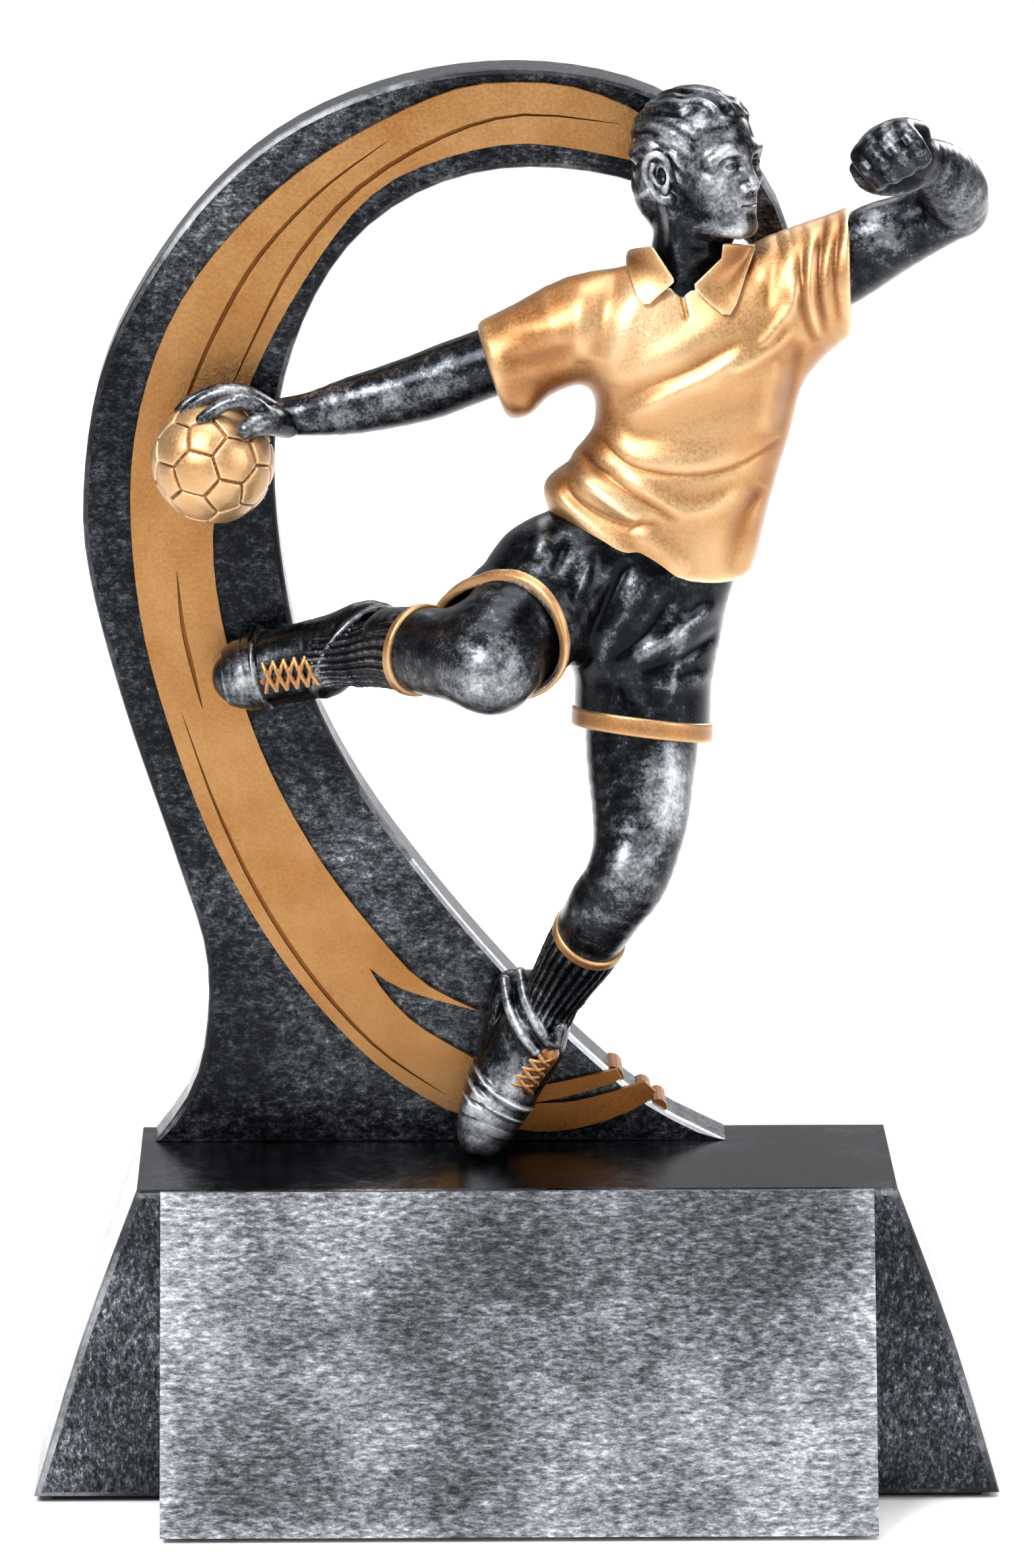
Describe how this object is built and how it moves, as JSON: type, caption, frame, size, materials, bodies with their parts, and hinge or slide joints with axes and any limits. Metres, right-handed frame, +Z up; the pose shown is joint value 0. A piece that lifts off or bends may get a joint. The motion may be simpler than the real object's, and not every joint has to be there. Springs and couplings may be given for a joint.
{
  "type": "figure trophy",
  "caption": "Trophy of a handball player in mid-throw, standing in front of an open arch with a raised ribbon, on a plinth with sloping ends and a wedge-shaped name panel.",
  "frame": {"origin": "middle of the bounding box at the underside of the felt, on the surface the trophy stands on", "axes": "+Z up, the name panel and the figure's front towards -Y, the figure's throwing side (its right hand with the ball) towards -X"},
  "size_m": [0.11, 0.0466, 0.1612],
  "materials": {
    "antique_silver_block": "satin",
    "antique_silver_figure": "satin",
    "brushed_silver_panel": "satin",
    "satin_gold": "satin",
    "orange_gold": "satin",
    "steel": "satin",
    "felt": "matte"
  },
  "bodies": {
    "root": {"plinth": "antique_silver_block", "front_panel": "brushed_silver_panel", "base_felt": "felt", "head": "antique_silver_figure", "collar": "satin_gold", "shirt": "satin_gold", "right_arm": "antique_silver_figure", "right_hand": "antique_silver_figure", "ball": "satin_gold", "left_arm": "antique_silver_figure", "left_fist": "antique_silver_figure", "shorts": "antique_silver_figure", "right_hem_band": "satin_gold", "left_hem_band": "satin_gold", "right_leg": "antique_silver_figure", "left_leg": "antique_silver_figure", "right_sock": "antique_silver_figure", "left_sock": "antique_silver_figure", "right_sock_band": "satin_gold", "left_sock_band": "satin_gold", "right_shoe": "antique_silver_figure", "left_shoe": "antique_silver_figure", "right_laces": "orange_gold", "left_laces": "orange_gold", "ribbon": "satin_gold", "ribbon_heel_strand": "orange_gold", "ribbon_toe_strand": "orange_gold", "arch": "antique_silver_block", "neck_pin": "steel", "right_shoulder_pin": "steel", "left_shoulder_pin": "steel", "waist_pin": "steel", "right_hip_pin": "steel", "left_hip_pin": "steel", "right_sock_pin": "steel", "left_sock_pin": "steel", "right_shoe_pin": "steel", "left_shoe_pin": "steel", "right_wrist_pin": "steel", "left_wrist_pin": "steel", "ball_pin": "steel", "right_toe_pin": "steel", "left_toe_pin": "steel", "shoulder_arch_pin": "steel", "arch_dowel_left": "steel", "arch_dowel_right": "steel", "panel_dowel_left": "steel", "panel_dowel_right": "steel"}
  },
  "joints": []
}
